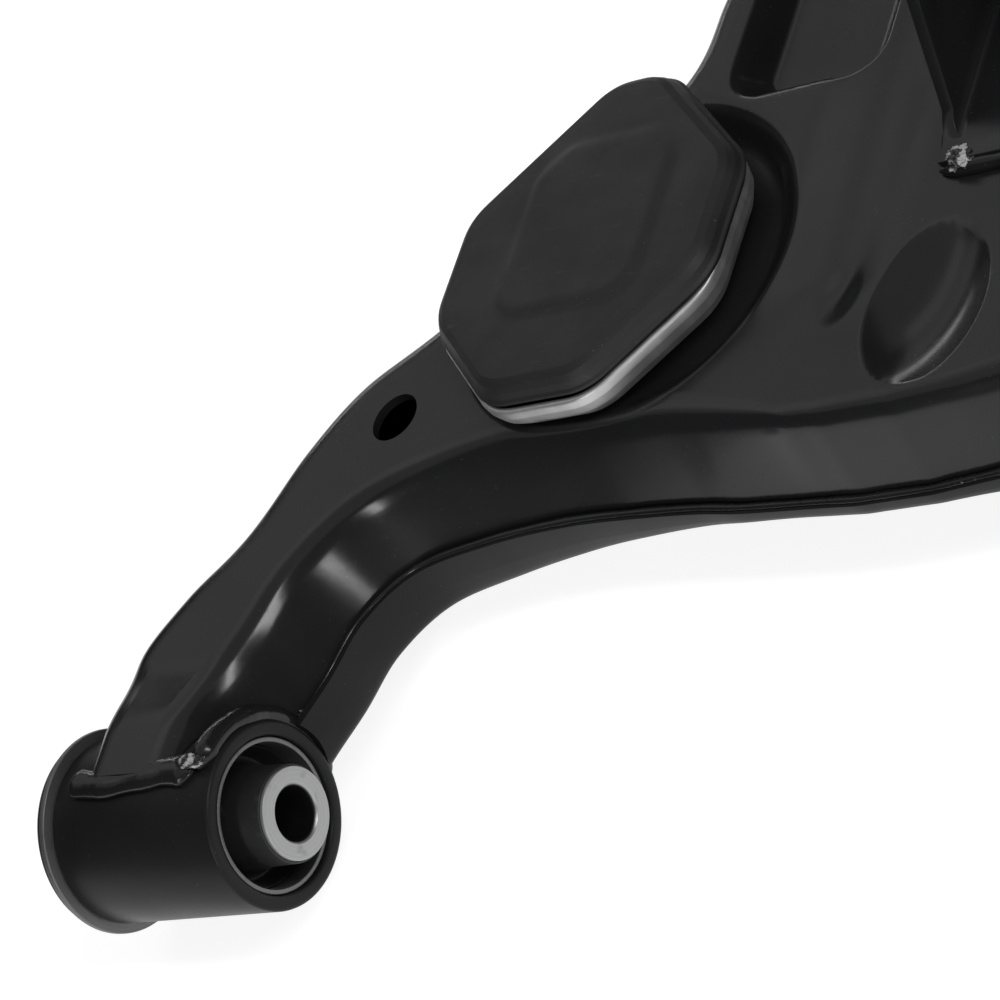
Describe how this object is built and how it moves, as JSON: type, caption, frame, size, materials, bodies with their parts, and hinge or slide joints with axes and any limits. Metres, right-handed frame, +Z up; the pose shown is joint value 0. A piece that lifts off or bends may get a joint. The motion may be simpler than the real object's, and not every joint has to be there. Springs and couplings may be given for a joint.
{
  "type": "control arm",
  "caption": "Stamped-steel lower control arm: welded wishbone with rubber pivot bushes, bump-stop pad, shock clevis and ball joint.",
  "frame": {"origin": "on the pivot axis, midway between the two bushes", "axes": "+X along the pivot axis from the front bush to the rear one, +Y out to the ball joint, +Z up"},
  "size_m": [0.5244, 0.4803, 0.129],
  "materials": {
    "black_paint": "satin black electro-coat",
    "bare_steel": "bare drawn steel",
    "sleeve_steel": "turned and zinc plated",
    "zinc_steel": "zinc plated",
    "dish_steel": "satin pressed steel",
    "forged_steel": "phosphated forging",
    "bumper_rubber": "matte moulded",
    "bush_rubber": "matte moulded",
    "boot_rubber": "satin moulded",
    "liner_plastic": "moulded acetal"
  },
  "bodies": {
    "arm": {"upper_shell": "black_paint", "lower_shell": "black_paint", "inner_brace": "black_paint", "shock_bracket": "black_paint", "shock_weld_nut": "zinc_steel", "link_weld_nut": "zinc_steel", "bumper_dish": "dish_steel", "bumper_rubber": "bumper_rubber", "bumper_stud": "zinc_steel", "bumper_washer": "zinc_steel", "bumper_nut": "zinc_steel", "ball_joint_ring": "black_paint", "ball_joint_housing": "forged_steel", "ball_joint_liner": "liner_plastic", "ball_joint_cover": "zinc_steel", "ball_joint_circlip": "bare_steel", "boot_lower_clip": "bare_steel", "front_bush_tube": "black_paint", "front_bush_can": "bare_steel", "front_bush_rubber": "bush_rubber", "rear_bush_tube": "black_paint", "rear_bush_can": "bare_steel", "rear_bush_rubber": "bush_rubber"},
    "front_sleeve": {"front_bush_sleeve": "sleeve_steel"},
    "rear_sleeve": {"rear_bush_sleeve": "sleeve_steel"},
    "boot": {"ball_joint_boot": "boot_rubber"},
    "boot_collar": {"boot_upper_clip": "bare_steel"},
    "stud": {"ball_stud": "forged_steel", "castle_nut": "zinc_steel", "cotter_pin": "zinc_steel"}
  },
  "joints": [
    {"name": "front_bush_twist", "type": "hinge", "parent": "arm", "child": "front_sleeve", "pos_m": [-0.22, 0, 0], "axis": [1, 0, 0], "range_deg": [-30, 30], "stiffness_Nm_per_rad": 60},
    {"name": "rear_bush_twist", "type": "hinge", "parent": "arm", "child": "rear_sleeve", "pos_m": [0.22, 0, 0], "axis": [1, 0, 0], "range_deg": [-30, 30], "stiffness_Nm_per_rad": 60},
    {"name": "ball_tilt_x", "type": "hinge", "parent": "arm", "child": "boot", "pos_m": [0.02, 0.4, 0.014], "axis": [1, 0, 0], "range_deg": [-20, 20], "deforming": ["ball_joint_boot"]},
    {"name": "ball_tilt_y", "type": "hinge", "parent": "boot", "child": "boot_collar", "pos_m": [0.02, 0.4, 0.014], "axis": [0, 1, 0], "range_deg": [-12, 12]},
    {"name": "ball_spin", "type": "hinge", "parent": "boot_collar", "child": "stud", "pos_m": [0.02, 0.4, 0.014], "axis": [0, 0, 1], "continuous": true}
  ],
  "couplings": [
    {"joint": "rear_bush_twist", "follows": "front_bush_twist", "ratio": 1}
  ]
}
